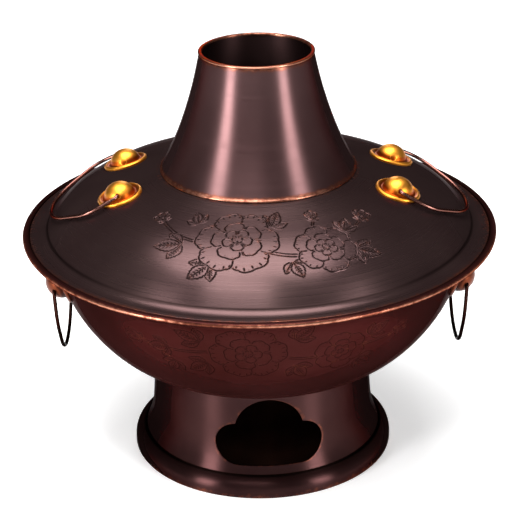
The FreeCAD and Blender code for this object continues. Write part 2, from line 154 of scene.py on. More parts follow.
def closed_profile(*runs):
    """Runs of (radius, height) points joined into one anticlockwise loop, without repeated points."""
    loop = np.concatenate([np.atleast_2d(np.array(run, float)) for run in runs])
    loop = loop[np.hypot(*(loop - np.roll(loop, 1, axis=0)).T) > 0.02]
    ahead = np.roll(loop, -1, axis=0)
    area = (loop[:, 0] * ahead[:, 1] - ahead[:, 0] * loop[:, 1]).sum()
    return loop if area > 0 else loop[::-1]


def eased(profile, reach=0.4, steps=3):
    """A closed profile whose corners of more than 25 degrees are rounded: each becomes a quadratic
    curve from a cut on one side, reach away, to a cut on the other. Corners on the axis stay."""
    before = np.roll(profile, 1, axis=0) - profile
    after = np.roll(profile, -1, axis=0) - profile
    long_before = np.hypot(before[:, 0], before[:, 1])
    long_after = np.hypot(after[:, 0], after[:, 1])
    cosine = (before * after).sum(1) / (long_before * long_after)
    corner = (180 - np.degrees(np.arccos(np.clip(cosine, -1, 1))) > 25) & (profile[:, 0] > 1e-6)
    cut = np.minimum(reach, 0.45 * np.minimum(long_before, long_after))[:, None]
    t = np.linspace(0, 1, steps + 1)[None, :, None]
    start = profile + before / long_before[:, None] * cut
    end = profile + after / long_after[:, None] * cut
    curve = (1 - t) ** 2 * start[:, None] + 2 * t * (1 - t) * profile[:, None] + t ** 2 * end[:, None]
    counts = np.where(corner, steps + 1, 1)
    pick = np.repeat(np.arange(len(profile)), counts)
    place = np.arange(len(pick)) - np.repeat(np.cumsum(counts) - counts, counts)
    return np.where(corner[pick][:, None], curve[pick, place], profile[pick])


def near(profile, marks, width, strength=1.0):
    """A bell curve of each profile point's distance from the nearest of some (radius, height) marks."""
    gap = np.hypot(*(profile[:, None] - np.atleast_2d(np.array(marks, float))[None]).T).min(0)
    return strength * np.exp(-(gap / width) ** 2)


def add_piece(name, points, faces, uv, material, body, slot, nodes=(), sharp=40, **values):
    """Mesh piece from points in millimetres. uv has a pair in metres for each face corner, and values
    are point attributes. Doubled points are merged; edges that turn more than sharp degrees stay sharp."""
    mesh = bpy.data.meshes.new(name)
    mesh.from_pydata((np.asarray(points) * MM).tolist(), [], np.asarray(faces).tolist())
    layer = mesh.uv_layers.new(name="turned")
    layer.data.foreach_set("uv", np.asarray(uv, np.float32).ravel())
    for key in ("worn", "soot"):
        spread = np.broadcast_to(np.asarray(values.get(key, 0.0), np.float32), len(points))
        mesh.attributes.new(key, "FLOAT", "POINT").data.foreach_set("value", np.ascontiguousarray(spread))
    work = bmesh.new()
    work.from_mesh(mesh)
    bmesh.ops.remove_doubles(work, verts=work.verts, dist=0.002 * MM)
    bmesh.ops.dissolve_degenerate(work, edges=work.edges, dist=0.001 * MM)
    work.to_mesh(mesh)
    work.free()
    mesh.polygons.foreach_set("use_smooth", np.ones(len(mesh.polygons), bool))
    mesh.set_sharp_from_angle(angle=math.radians(sharp))
    mesh.materials.append(material)
    piece = bpy.data.objects.new(name, mesh)
    bpy.context.scene.collection.objects.link(piece)
    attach(piece, body)
    if nodes:
        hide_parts(*nodes)
    return piece


def turned_grid(profile, segments):
    """A closed profile carried round the Z axis from the back. Point (u, i) is (radius_i cos u,
    radius_i sin u, height_i). Gives points, faces, and UV as metres round the piece at its mean radius
    and metres along the profile."""
    angle = np.pi / 2 + 2 * np.pi * np.arange(segments) / segments
    radius, height = profile.T
    points = np.stack([radius * np.cos(angle)[:, None], radius * np.sin(angle)[:, None],
                       np.broadcast_to(height, (segments, len(profile)))], -1)
    u, i = np.meshgrid(np.arange(segments), np.arange(len(profile)), indexing="ij")
    u1, i1 = (u + 1) % segments, (i + 1) % len(profile)
    count = len(profile)
    faces = np.stack([u * count + i, u1 * count + i, u1 * count + i1, u * count + i1], -1)
    length = np.concatenate([[0], np.cumsum(np.hypot(*(np.roll(profile, -1, 0) - profile).T))]) * MM
    step = 2 * np.pi * radius.mean() * MM / segments
    uv = np.stack([np.stack([u, u + 1, u + 1, u], -1) * step,
                   length[np.stack([i, i, i + 1, i + 1], -1)]], -1)
    off_axis = (radius > 0) | (np.roll(radius, -1) > 0)
    return points.reshape(-1, 3), faces[:, off_axis].reshape(-1, 4), uv[:, off_axis].reshape(-1, 2)


def turned_piece(node, made, profile, material, body, slot, segments=256, worn=0.0, soot=0.0):
    """One node's piece turned round the Z axis, named for how it is made. worn and soot have a value
    for each point of its profile."""
    points, faces, uv = turned_grid(profile, segments)
    values = {key: np.tile(np.broadcast_to(value, len(profile)), segments)
              for key, value in (("worn", worn), ("soot", soot))}
    return add_piece(node + "_" + made, points, faces, uv, material, body, slot, [node], **values)


band = (SHOULDER, SKIRT_HEIGHT)
band_inner = BAND_RADIUS - RING_WALL
neck = SHOULDER - RING_WALL
ring_profile = eased(closed_profile(
    [(SHOULDER, RING_TOP)], arc_run(band, BAND_RADIUS, 90, 0, 17),
    [(TREAD, 0), (LEDGE_INNER, 0), (LEDGE_INNER, PLATE_HEIGHT), (PLATE_RADIUS, PLATE_HEIGHT)],
    arc_run(band, band_inner, 0, 90, 9),
    [(neck, SKIRT_HEIGHT + band_inner), (neck, RING_TOP)]), 0.45)
# Wear where the ring stands on the table. Along the shoulder's edge this is partly a painted highlight, and
# the near-black in the groove between foot and ring is painted shade.
ring_worn = near(ring_profile, [(TREAD, 3.0), (TREAD, 0.5)], 1.2, 0.42)
ring_worn += near(ring_profile, [(SHOULDER, 14.2)], 0.7, 0.3)
ring_soot = near(ring_profile, [(SHOULDER, 14.3), (SHOULDER, 13.5), (88.2, 13.2)], 0.9)
turned_piece("foot_base_ring", "turned", ring_profile, dull_patina, "pot", "antique_copper",
             worn=ring_worn, soot=ring_soot)

# ------------------------------------------------------------------------------------------------
# Ash plate: a flat disc of heat-darkened copper, loose on the base ring's inner ledge, where it catches
# what falls through the grate. Rougher and redder than the pot's outside, with a little gloss left.

fire_copper = antique_patina("fire_darkened_copper", "#4A2A20", "#6E4030", "#FFFFFF", roughness=0.4,
                             metallic=0.7, brushing=0.4, gloss=0.5)
plate_top = PLATE_HEIGHT + SHEET
plate_profile = eased(closed_profile(
    [(0, PLATE_HEIGHT), (PLATE_RADIUS, PLATE_HEIGHT)],
    [(radius, plate_top) for radius in (PLATE_RADIUS, 60, 30, 0)]), 0.3)
turned_piece("foot_ash_plate", "turned", plate_profile, fire_copper, "pot", "fire_copper",
             segments=128, soot=0.75)

# ------------------------------------------------------------------------------------------------
# Foot: a spun, waisted shell soldered to the base ring and, by its turned-in top flange, to the bowl.
# The draught opening sawn out of its front is a cloud: two side lobes on a level sill under a crown.

BOWL_BASE = 73.4
FOOT_POINTS = [(SHOULDER, RING_TOP), (83.1, 26.0), (81.1, 40.0), (80.2, 55.0), (79.4, BOWL_BASE)]
FOOT_FRONT = 82.0                     # about its radius at the opening
FLANGE_INNER = 66.4
OPENING_TURN = math.radians(3.3)
SILL = 20.2
LOBE_RADIUS = 15.5
LOBE_OFFSET = 22.5
CROWN_RADIUS = 24.5
CROWN_MIDDLE = 46.0
OPENING_MIDDLE = 37.0
SPOKE_SPREAD = 0.8                    # under 1 turns the mesh's spokes round the opening more upright
SAWN_EDGE = 0.45                      # rounding of the sawn edge
FOOT_SEGMENTS = 320
FRONT_STEPS = 40                      # of those, on each side of the opening's middle


def travelled(points):
    """The distance from a run's first point to each of its points, along the run."""
    return np.concatenate([[0], np.cumsum(np.linalg.norm(np.diff(points, axis=0), axis=1))])


def smooth_run(points, count):
    """Natural cubic spline through (radius, height) points, at even steps of its chord length."""
    points = np.array(points, float)
    knots = travelled(points)
    step = np.diff(knots)
    size = len(points)
    system = np.eye(size)
    slope = np.zeros((size, 2))
    for i in range(1, size - 1):
        system[i, i - 1:i + 2] = step[i - 1], 2 * (step[i - 1] + step[i]), step[i]
        slope[i] = 6 * ((points[i + 1] - points[i]) / step[i] - (points[i] - points[i - 1]) / step[i - 1])
    bend = np.linalg.solve(system, slope)
    at = np.linspace(0, knots[-1], count)
    k = np.clip(np.searchsorted(knots, at) - 1, 0, size - 2)
    a = ((knots[k + 1] - at) / step[k])[:, None]
    b = 1 - a
    h = (step[k] ** 2 / 6)[:, None]
    return a * points[k] + b * points[k + 1] + ((a ** 3 - a) * bend[k] + (b ** 3 - b) * bend[k + 1]) * h


def beside(run, distance):
    """The run moved to its left, square to its own direction."""
    along = np.gradient(run, axis=0)
    along /= np.hypot(along[:, 0], along[:, 1])[:, None]
    return run + distance * np.stack([-along[:, 1], along[:, 0]], 1)


def strip_faces(rows, columns):
    """Quads between the rows of a grid of points whose columns close up on themselves."""
    i, j = np.meshgrid(np.arange(rows - 1), np.arange(columns), indexing="ij")
    j1 = (j + 1) % columns
    corners = [i * columns + j, i * columns + j1, (i + 1) * columns + j1, (i + 1) * columns + j]
    return np.stack(corners, -1).reshape(-1, 4)


def cloud_reach(angle, middle):
    """How far the opening's edge is from a point on its middle line, in a direction: the furthest of
    the places where a straight line leaves the crown's circle, the lobes' circles and the middle box."""
    way = np.stack([np.cos(angle), np.sin(angle)], -1)
    reach = np.zeros(len(angle))
    for x, z, radius in ((0, CROWN_MIDDLE, CROWN_RADIUS), (-LOBE_OFFSET, SILL + LOBE_RADIUS, LOBE_RADIUS),
                         (LOBE_OFFSET, SILL + LOBE_RADIUS, LOBE_RADIUS)):
        along = way @ np.array([x, z - middle])
        inside = along ** 2 - (x ** 2 + (z - middle) ** 2 - radius ** 2)
        reach = np.maximum(reach, np.where(inside > 0, along + np.sqrt(np.maximum(inside, 0)), 0))
    to_side = LOBE_OFFSET / np.maximum(np.abs(way[:, 0]), 1e-9)
    end = np.where(way[:, 1] < 0, middle - SILL, CROWN_MIDDLE - middle)
    to_end = end / np.maximum(np.abs(way[:, 1]), 1e-9)
    return np.maximum(reach, np.minimum(to_side, to_end))


foot_outer = smooth_run(FOOT_POINTS, 49)
foot_inner = beside(foot_outer, SHEET)
foot_inner[0] = SHOULDER - SHEET, RING_TOP
foot_inner[-1] = FOOT_POINTS[-1][0] - SHEET, BOWL_BASE - SHEET
foot_profile = closed_profile(foot_outer, [(FLANGE_INNER, BOWL_BASE), (FLANGE_INNER, BOWL_BASE - SHEET)],
                              foot_inner[::-1])
foot_points, foot_faces, foot_uv = turned_grid(foot_profile, FOOT_SEGMENTS)
spin = np.array([[math.cos(OPENING_TURN), math.sin(OPENING_TURN), 0],
                 [-math.sin(OPENING_TURN), math.cos(OPENING_TURN), 0], [0, 0, 1]])
# the front of both walls is left out of the turned grid, and filled by rings round the opening
column, row = np.divmod(np.arange(len(foot_faces)), len(foot_profile))
first, last = FOOT_SEGMENTS // 2 - FRONT_STEPS, FOOT_SEGMENTS // 2 + FRONT_STEPS
outer_rows = len(foot_outer) - 1
inner_start = len(foot_profile) - len(foot_inner)
in_wall = (row < outer_rows) | ((row >= inner_start) & (row < len(foot_profile) - 1))
kept = ~((column >= first) & (column < last) & in_wall)
side_angle = 2 * np.pi * FRONT_STEPS / FOOT_SEGMENTS
across = np.linspace(-side_angle, side_angle, 2 * FRONT_STEPS + 1)
up = np.linspace(0, 1, len(foot_outer))
rim_angle = np.concatenate([across[:-1], np.full(outer_rows, side_angle), across[:0:-1],
                            np.full(outer_rows, -side_angle)])
rim_share = np.concatenate([np.zeros(len(across) - 1), up[:-1], np.ones(len(across) - 1), up[:0:-1]])
rim_height = np.interp(rim_share, up, foot_outer[:, 1])
rim_x = FOOT_FRONT * np.sin(rim_angle)
bearing = np.arctan2(rim_height - OPENING_MIDDLE, rim_x * SPOKE_SPREAD)
reach = cloud_reach(bearing, OPENING_MIDDLE)
cut_x, cut_z = reach * np.cos(bearing), OPENING_MIDDLE + reach * np.sin(bearing)
out_x, out_z = rim_x - cut_x, rim_height - cut_z
shrink = 1 / np.hypot(out_x, out_z)
# a ring is (share of the way from the sawn edge to the patch's rim, rounding outwards, depth)
edge_t = np.linspace(0, 1, 5)
wall_shares = 1 - np.linspace(0, 1, 15)[:-1] ** 0.8
rings = [(share, 0.0, 0.0) for share in wall_shares]
rings += [(0, SAWN_EDGE * (1 - t) ** 2, SAWN_EDGE * t ** 2) for t in edge_t]
rings += [(0, SAWN_EDGE * (1 - t) ** 2, SHEET - SAWN_EDGE * t ** 2) for t in edge_t[::-1]]
rings += [(share, 0.0, SHEET) for share in wall_shares[::-1]]


def foot_place(x_cut, z_cut, share, depth):
    """A place on the ring of rings round the opening: share 0 is at the sawn edge and 1 at the patch's
    rim, and depth is into the sheet."""
    wall = foot_outer + (foot_inner - foot_outer) * depth / SHEET
    own_height = np.interp(rim_share, up, wall[:, 1])
    own_radius = np.interp(rim_share, up, wall[:, 0])
    order = np.argsort(wall[:, 1])
    cut_radius = np.interp(z_cut, wall[order, 1], wall[order, 0])
    cut_angle = np.arcsin(np.clip(x_cut / cut_radius, -1, 1))
    turn = cut_angle + (rim_angle - cut_angle) * share
    height = z_cut + (own_height - z_cut) * share
    radius = np.where(share == 1, own_radius, np.interp(height, wall[order, 1], wall[order, 0]))
    return np.stack([turn, height, radius], -1)


patch = np.stack([foot_place(cut_x + out_x * shrink * ease, cut_z + out_z * shrink * ease, share, depth)
                  for share, ease, depth in rings])
turn, height, radius = np.moveaxis(patch, -1, 0)
patch_points = np.stack([radius * np.sin(turn), -radius * np.cos(turn), height], -1)
patch_faces = strip_faces(len(rings), len(rim_angle))
patch_uv = np.stack([(turn + np.pi) * foot_profile[:, 0].mean() * MM,
                     np.interp(height, foot_outer[:, 1], travelled(foot_outer) * MM)], -1)
sawn = np.array([0.25 if share < 0.06 and depth < SHEET else 0 for share, ease, depth in rings])
inside = np.array([depth >= SHEET - SAWN_EDGE for share, ease, depth in rings], float)
profile_worn = near(foot_profile, FOOT_POINTS[-1:], 0.8, 0.25)
profile_soot = near(foot_profile, foot_inner, 0.7, 0.9)
foot_all = np.concatenate([foot_points, patch_points.reshape(-1, 3)]) @ spin
foot_faces = np.concatenate([foot_faces[kept], patch_faces + len(foot_points)])
foot_uv = np.concatenate([foot_uv.reshape(-1, 4, 2)[kept].reshape(-1, 2),
                          patch_uv.reshape(-1, 2)[patch_faces.reshape(-1)]])
spokes = len(rim_angle)
add_piece("foot_shell_spun", foot_all, foot_faces, foot_uv, dull_patina, "pot", "antique_copper",
          ["foot_shell"],
          worn=np.concatenate([np.tile(profile_worn, FOOT_SEGMENTS), np.repeat(sawn, spokes)]),
          soot=np.concatenate([np.tile(profile_soot, FOOT_SEGMENTS), np.repeat(inside * 0.9, spokes)]))

# ------------------------------------------------------------------------------------------------
# Bowl: one spun sheet from its holed bottom to a level brim, where the lid lies, and a rolled lip. The
# lip's patina is rubbed down to bright copper by handling.

BOWL_POINTS = [FOOT_POINTS[-1], (103.0, 85.0), (120.3, 100.0), (137.5, 125.0), (149.0, 152.0),
               (156.5, 166.0), (161.0, 171.2)]
BRIM_HEIGHT = 172.7
LIP_INNER = 165.3
LIP_RADIUS = 170.0
LIP_ROLL = 1.7
LIP_MIDDLE = 172.9
TUBE_RADIUS = 62.0

bowl_patina = antique_patina("bowl_antique_patina", "#371A18", "#422120", "#6A5A58", roughness=0.3,
                             metallic=0.7)
bowl_outer = smooth_run(BOWL_POINTS, 70)
bowl_inner = beside(bowl_outer, SHEET)
bowl_inner[-1] = BOWL_POINTS[-1][0] - SHEET, BRIM_HEIGHT
bowl_floor = BOWL_BASE + SHEET
bowl_profile = eased(closed_profile(
    bowl_outer, arc_run((LIP_RADIUS - LIP_ROLL, LIP_MIDDLE), LIP_ROLL, -90, 90, 15),
    [(LIP_INNER, LIP_MIDDLE + LIP_ROLL), (LIP_INNER, BRIM_HEIGHT)], bowl_inner[::-1],
    [(TUBE_RADIUS, bowl_floor), (TUBE_RADIUS, BOWL_BASE)]), 0.5)
# Painted shade: near-black in the corner under the bowl where the foot meets it, and in the gap at the
# lip's inner corner where the lid's edge lies.
bowl_shaded_corners = [(79.6, BOWL_BASE), (LIP_INNER, 174.0), (LIP_INNER, BRIM_HEIGHT)]
turned_piece("bowl", "spun", bowl_profile, bowl_patina, "pot", "antique_copper", segments=320,
             worn=near(bowl_profile, [(169.9, 173.2)], 1.3, 0.8),
             soot=near(bowl_profile, bowl_shaded_corners, 1.0, 0.9))

# ------------------------------------------------------------------------------------------------
# Fire tube, its flange and its floor ring: heat-darkened copper sheet, brazed to one another and to the
# bowl's bottom. The cast iron grate lies loose on the floor ring and is lifted out up the tube.

TUBE_FOOT = 62.0
TUBE_POINTS = [(TUBE_RADIUS, TUBE_FOOT), (TUBE_RADIUS, 73.0), (TUBE_RADIUS, 84.0), (58.0, 133.4),
               (54.0, 182.7), (50.0, 232.0), (50.0, 240.0)]
FLANGE_RADIUS = 70.0
FLANGE_TOP = 80.9
FLANGE_BEND = 2.0
GRATE_SEAT_INNER = 44.0


def plain_ring(node, made, inner, outer, low, high, body, segments=160, bevel=(0, 0), soot=0.0):
    """Ring of heat-darkened copper, four-cornered in section. bevel takes the outer top corner inwards
    and down."""
    section = [(inner, low), (outer, low), (outer - bevel[0], high - bevel[1]), (inner, high)]
    return turned_piece(node, made, eased(closed_profile(section), 0.3), fire_copper, body,
                        "fire_copper", segments, soot=soot)


tube_outer = np.array(TUBE_POINTS)
tube_inner = tube_outer - [SHEET, 0]
tube_profile = eased(closed_profile(tube_outer, tube_inner[::-1]), 0.3)
turned_piece("fire_tube", "rolled", tube_profile, fire_copper, "pot", "fire_copper", segments=160,
             soot=near(tube_profile, smooth_run(tube_inner, 60), 1.2, 0.95))
collar_side, flange_face = TUBE_RADIUS + SHEET, bowl_floor + SHEET
flange_profile = eased(closed_profile(
    [(TUBE_RADIUS, bowl_floor), (FLANGE_RADIUS, bowl_floor), (FLANGE_RADIUS, flange_face)],
    arc_run((collar_side + FLANGE_BEND, flange_face + FLANGE_BEND), FLANGE_BEND, 270, 180, 6),
    [(collar_side, FLANGE_TOP), (TUBE_RADIUS, FLANGE_TOP)]), 0.3)
turned_piece("fire_tube_flange", "pressed", flange_profile, fire_copper, "pot", "fire_copper", segments=128)
plain_ring("tube_floor_ring", "cut", GRATE_SEAT_INNER, TUBE_RADIUS - SHEET, TUBE_FOOT, TUBE_FOOT + SHEET,
           "pot", segments=128, soot=0.8)

# Cast iron: near-black, rough from the sand it was cast in, grey with patches of ash.
iron = new_material("sooty_cast_iron")
iron_place = node_in(iron, "TexCoord")
sand = node_in(iron, "TexNoise", [("Vector", iron_place, "Object")], Scale=1 / 0.0015, Detail=4.0)
ash = node_in(iron, "TexNoise", [("Vector", iron_place, "Object")], Scale=1 / 0.012, Detail=3.0)
ash_share = node_in(iron, "MapRange", [("Value", ash, 0)], From_Min=0.45, From_Max=0.75)
iron_tone = node_in(iron, "Mix", [("Factor", ash_share, 0)], data_type="RGBA",
                    _6=linear("#1B1918"), _7=linear("#4B4744"))
iron_relief = node_in(iron, "Bump", [("Height", sand, 0)], Strength=0.6, Distance=0.15 * MM)
iron_surface = node_in(iron, "BsdfPrincipled",
                       [("Base Color", iron_tone, 2), ("Normal", iron_relief, 0)],
                       Roughness=0.75, Metallic=0.3)
node_in(iron, "OutputMaterial", [("Surface", iron_surface, 0)])


def finish_node(name, material):
    """Gives a CAD node that stays its finish."""
    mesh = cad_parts[name].data
    mesh.materials.clear()
    mesh.materials.append(material)


finish_node("charcoal_grate", iron)

# ------------------------------------------------------------------------------------------------
# Lid: one spun sheet with a flat seat for the chimney, the dome, a hollow step and a flat flange that
# lies on the bowl's brim. A collar is brazed in its hole and a locating ring soldered underneath.

LID_TOP = 216.6
LID_POINTS = [(152.2, 177.2), (138.0, 192.3), (127.0, 199.4), (115.0, 204.9), (90.0, 211.9),
              (71.0, LID_TOP)]
LID_EDGE = 164.8
LID_HOLE = 61.5
COLLAR_LOW, COLLAR_HIGH = 210.1, 225.6
STEP_CENTRE = (159.2, 183.867)
STEP_RADIUS = 9.667
STEP_END = 270 - math.degrees(math.asin((STEP_CENTRE[0] - LID_POINTS[0][0]) / STEP_RADIUS))

patina = antique_patina("antique_patina", "#4A3838", "#544140", "#4A2222", roughness=0.28, metallic=0.85)
lid_outer = smooth_run(LID_POINTS, 70)
lid_inner = beside(lid_outer, SHEET)
lid_inner[-1] = LID_POINTS[-1][0], LID_TOP - SHEET
lid_profile = eased(closed_profile(
    [(LID_EDGE, BRIM_HEIGHT), (LID_EDGE, BRIM_HEIGHT + SHEET)],
    arc_run(STEP_CENTRE, STEP_RADIUS, 270, STEP_END, 9), lid_outer[1:],
    [(LID_HOLE, LID_TOP), (LID_HOLE, LID_TOP - SHEET)], lid_inner[::-1],
    arc_run(STEP_CENTRE, STEP_RADIUS + SHEET, STEP_END, 270, 9)[1:]), 0.45)
lid_worn = near(lid_profile, [(LID_EDGE, BRIM_HEIGHT + SHEET)], 0.9, 0.5)
lid_worn += near(lid_profile, [(71.6, 216.5)], 1.2, 0.3)
# The near-black along the crease where the dome meets the step, and along the flange's lower edge on the
# brim, is painted shade.
turned_piece("lid", "spun", lid_profile, patina, "lid", "antique_copper", segments=320, worn=lid_worn,
             soot=near(lid_profile, [(152.4, 177.0), (LID_EDGE, BRIM_HEIGHT)], 0.8, 0.8))
plain_ring("lid_collar", "rolled", LID_HOLE - SHEET, LID_HOLE, COLLAR_LOW, COLLAR_HIGH, "lid")
(_, _, locating_low), (locating_outer, _, locating_high) = np.array(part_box("lid_locating_ring")) / MM
plain_ring("lid_locating_ring", "rolled", locating_outer - SHEET, locating_outer, locating_low,
           locating_high, "lid", bevel=(0, 1.2))

# ------------------------------------------------------------------------------------------------
# Engraved flowers on the lid: chased by hand into the copper. A blunt tool leaves a groove between two low
# burrs. The groove is near-black, partly old polish and partly painted shade, and the burrs are a lighter
# copper, partly wear and partly painted highlight. Two full blossoms, buds and toothed leaves hang on a
# corded branch.

PICTURE_RADIUS = 115.0                # where a degree on the lid's drawing is as long as on the lid
# (across, out) from one side of a stroke to the other: a burr, the groove and a burr
GROOVE = [(-0.85, -0.06), (-0.45, 0.14), (-0.18, 0.02), (0.18, 0.02), (0.45, 0.14), (0.85, -0.06)]


def turned_by(points, degrees):
    """Drawing points turned anticlockwise about their origin."""
    angle = math.radians(degrees)
    return points @ np.array([[math.cos(angle), math.sin(angle)], [-math.sin(angle), math.cos(angle)]])


def petal(reach, breadth, lobes, ripple=0.05):
    """Egg-shaped outline that stands on the origin: y runs from 0.14 of the reach to all of it as minus
    the cosine of t, x swells with its sine, and the upper half is scalloped into lobes."""
    t = np.linspace(0, 2 * np.pi, 73)[:-1]
    scallop = 1 + ripple * np.where(np.cos(t) < 0.2, np.abs(np.sin(lobes * t)) - 0.5, 0)
    x = breadth * np.sin(t) * (0.62 - 0.38 * np.cos(t))
    y = reach * (0.57 - 0.43 * np.cos(t) * scallop)
    return np.stack([x * scallop, y], 1)


def hatching(outline, lines, first, last, long):
    """Short strokes from an outline's margin towards the origin, every second one shorter."""
    picks = np.linspace(first, last, lines) * (len(outline) - 1)
    starts = outline[picks.astype(int)]
    lengths = long * np.where(np.arange(lines) % 2, 0.55, 1)
    share = np.linspace(0.05, 1, 8)[None, :, None] * lengths[:, None, None]
    return list(starts[:, None] * (1 - share))


def closed(outline):
    """An outline as a stroke that ends where it starts."""
    return np.concatenate([outline, outline[:1]])


def blossom(size):
    """Peony: layers of (outline, strokes) from front to back. A knot of stamens, two whorls of five
    petals, then six broad ones. Each petal has hatching along its margin and five folds fanned out from
    its foot, and the larger ones a row of dots."""
    layers = []
    seed = petal(0.13 * size, 0.07 * size, 1, 0)
    for step in range(5):
        stamen = turned_by(seed, 72 * step)
        layers.append((stamen, [closed(stamen)]))
    for petals, reach, breadth, first in ((5, 0.36, 0.19, 36), (5, 0.62, 0.36, 10), (6, 1.0, 0.56, 20)):
        outline = petal(reach * size, breadth * size, 4, 0.08)
        folds = [np.array([[0.02 * k, 0.2], [0.07 * k, 0.62 - 0.06 * abs(k)]]) * reach * size
                 for k in range(-2, 3)]
        row = petal(0.84 * reach * size, 0.8 * breadth * size, 1, 0)[26:47]
        dots = [row[k:k + 2] for k in range(0, 20, 2)] if reach > 0.5 else []
        margin = hatching(outline, 9 + int(8 * reach), 0.25, 0.75, 0.16)
        strokes = [closed(outline)] + margin + dots + folds
        for step in [*range(0, petals, 2), *range(1, petals, 2)]:
            turn = first + 360 / petals * step
            layers.append((turned_by(outline, turn), [turned_by(stroke, turn) for stroke in strokes]))
    return layers


def bud(size):
    """Closed flower: a pointed middle petal between two side ones, over three sepals."""
    layers = []
    for breadth, turn, reach in ((0.26, 0, 1.0), (0.24, 24, 0.9), (0.24, -24, 0.9)):
        outline = turned_by(petal(reach * size, breadth * size, 1, 0), turn)
        layers.append((outline, [closed(outline)] + hatching(outline, 5, 0.38, 0.62, 0.3)))
    for turn in (0, 62, -62):
        sepal = turned_by(petal(0.42 * size, 0.12 * size, 1, 0), turn)
        layers.insert(0, (sepal, [closed(sepal)]))
    return layers


def leaf(size):
    """Three toothed leaflets on one stalk, each with a midrib and curved side veins."""
    layers = []
    t = np.linspace(0, 1, 49)
    half = 0.24 * np.sin(np.pi * t ** 0.85) * (1 + 0.22 * ((7 * t) % 1))
    side = np.stack([half, 0.1 + 0.9 * t], 1)
    outline = np.concatenate([side, side[::-1] * [-1, 1]])[:-1]
    along = np.linspace(0.2, 0.8, 6)[:, None]
    vein = np.linspace(0, 1, 7)[None]
    reach = 0.17 * np.sin(np.pi * along ** 0.85)
    veins = np.stack([reach * vein, along + 0.14 * vein ** 0.8], -1)
    midrib = np.stack([np.zeros(25), np.linspace(0, 0.97, 25)], 1)
    for share, turn in ((1.0, 0), (0.78, 48), (0.78, -48)):
        strokes = [closed(outline), midrib] + list(veins) + list(veins * [-1, 1])
        layers.append((turned_by(outline * size * share, turn),
                       [turned_by(stroke * size * share, turn) for stroke in strokes]))
    return layers


def branch(size, stops):
    """Corded stem through its stops: two smooth lines a size apart, with slanting dashes between."""
    line = smooth_run(stops, 12 * len(stops))
    left, right = beside(line, size / 2), beside(line, -size / 2)
    dashes = [np.stack([right[k] * 0.8 + left[k] * 0.2, right[k + 1] * 0.2 + left[k + 1] * 0.8])
              for k in range(1, len(line) - 2, 2)]
    return [(np.concatenate([left, right[::-1]]), [left, right] + dashes)]


def evenly(stroke, step=0.7):
    """A stroke with its points set about one step apart."""
    gap = travelled(stroke)
    at = np.linspace(0, gap[-1], max(3, int(gap[-1] / step) + 1))
    return np.stack([np.interp(at, gap, stroke[:, 0]), np.interp(at, gap, stroke[:, 1])], 1)


def covered(points, outline):
    """Which points lie inside an outline, by counting the sides that a level ray from each crosses."""
    x, y = points[:, :1], points[:, 1:]
    start, end = outline.T, np.roll(outline, -1, axis=0).T
    spans = (start[1] > y) != (end[1] > y)
    rise = np.where(end[1] == start[1], 1e-9, end[1] - start[1])
    return (spans & (x < start[0] + (y - start[1]) * (end[0] - start[0]) / rise)).sum(1) % 2 == 1


def visible_runs(layers):
    """Strokes of a drawing without what the layers in front of them hide."""
    runs = []
    for k, (outline, strokes) in enumerate(layers):
        for stroke in strokes:
            points = evenly(stroke)
            hidden = np.zeros(len(points), bool)
            for front, _ in layers[:k]:
                hidden |= covered(points, front)
            edges = np.flatnonzero(np.diff(np.concatenate([[1], hidden, [1]]).astype(int)))
            runs += [points[a:b] for a, b in edges.reshape(-1, 2) if b - a > 2]
    return runs


def engraving(name, layers, outline, radius, material, body, strength=1.0):
    """Chased strokes laid on a turned surface. A drawing's x is its place round the pot times a radius,
    and its y is the length along the outline. Each stroke carries the groove's section across its
    course, square to the surface, and runs out to nothing at both ends."""
    length = travelled(outline)
    facing = beside(outline, -1.0) - outline
    section = np.array(GROOVE) * [1, strength]
    count = len(section)
    points, faces, uv = [], [], []
    base = 0
    for run in visible_runs(layers):
        turn = run[:, 0] / radius
        r, z, out, rise = (np.interp(run[:, 1], length, column) for column in (*outline.T, *facing.T))
        path = np.stack([r * np.sin(turn), -r * np.cos(turn), z], 1)
        normal = np.stack([out * np.sin(turn), -out * np.cos(turn), rise], 1)
        along = np.gradient(path, axis=0)
        aside = np.cross(along, normal)
        aside /= np.linalg.norm(aside, axis=1)[:, None]
        place = np.arange(len(run))
        full = np.clip(np.minimum(place, len(run) - 1 - place) / 2 + 0.15, 0, 1)[:, None]
        height = section[0, 1] + (section[:, 1] - section[0, 1]) * full
        points.append((path[:, None] + aside[:, None] * (section[:, 0] * (0.5 + 0.5 * full))[:, :, None]
                       + normal[:, None] * height[:, :, None]).reshape(-1, 3))
        start = base + np.array([[0, 5, 4, 1], [1, 4, 3, 2]])
        faces += [base + strip_faces(len(run), count), start, start[:, ::-1] + (len(run) - 1) * count]
        base += len(run) * count
        uv.append(np.repeat(run * MM, count, axis=0))
    points, faces, uv = np.concatenate(points), np.concatenate(faces), np.concatenate(uv)
    sections = len(points) // count
    # The groove's near-black is partly old polish and partly painted shade, and the burrs' lighter copper
    # is partly wear and partly a painted highlight.
    return add_piece(name, points, faces, uv[faces.reshape(-1)], material, body, "antique_copper",
                     worn=np.tile(np.array([0, 0.3, 0, 0, 0.3, 0]) * strength, sections),
                     soot=np.tile(np.array([0, 0, 1, 1, 0, 0]) * strength, sections))


def drawing(radius, motifs, stems):
    """Layers from front to back: motifs, each with its degrees round from the front, its millimetres up
    the run and its turn, then stems, each with its width and its stops as degrees and millimetres."""
    layers = []
    for motif, degrees, height, turn in motifs:
        at = [math.radians(degrees) * radius, height]
        layers += [(turned_by(outline, turn) + at, [turned_by(stroke, turn) + at for stroke in strokes])
                   for outline, strokes in motif]
    for width, *stops in stems:
        layers += branch(width, [(math.radians(degrees) * radius, height) for degrees, height in stops])
    return layers


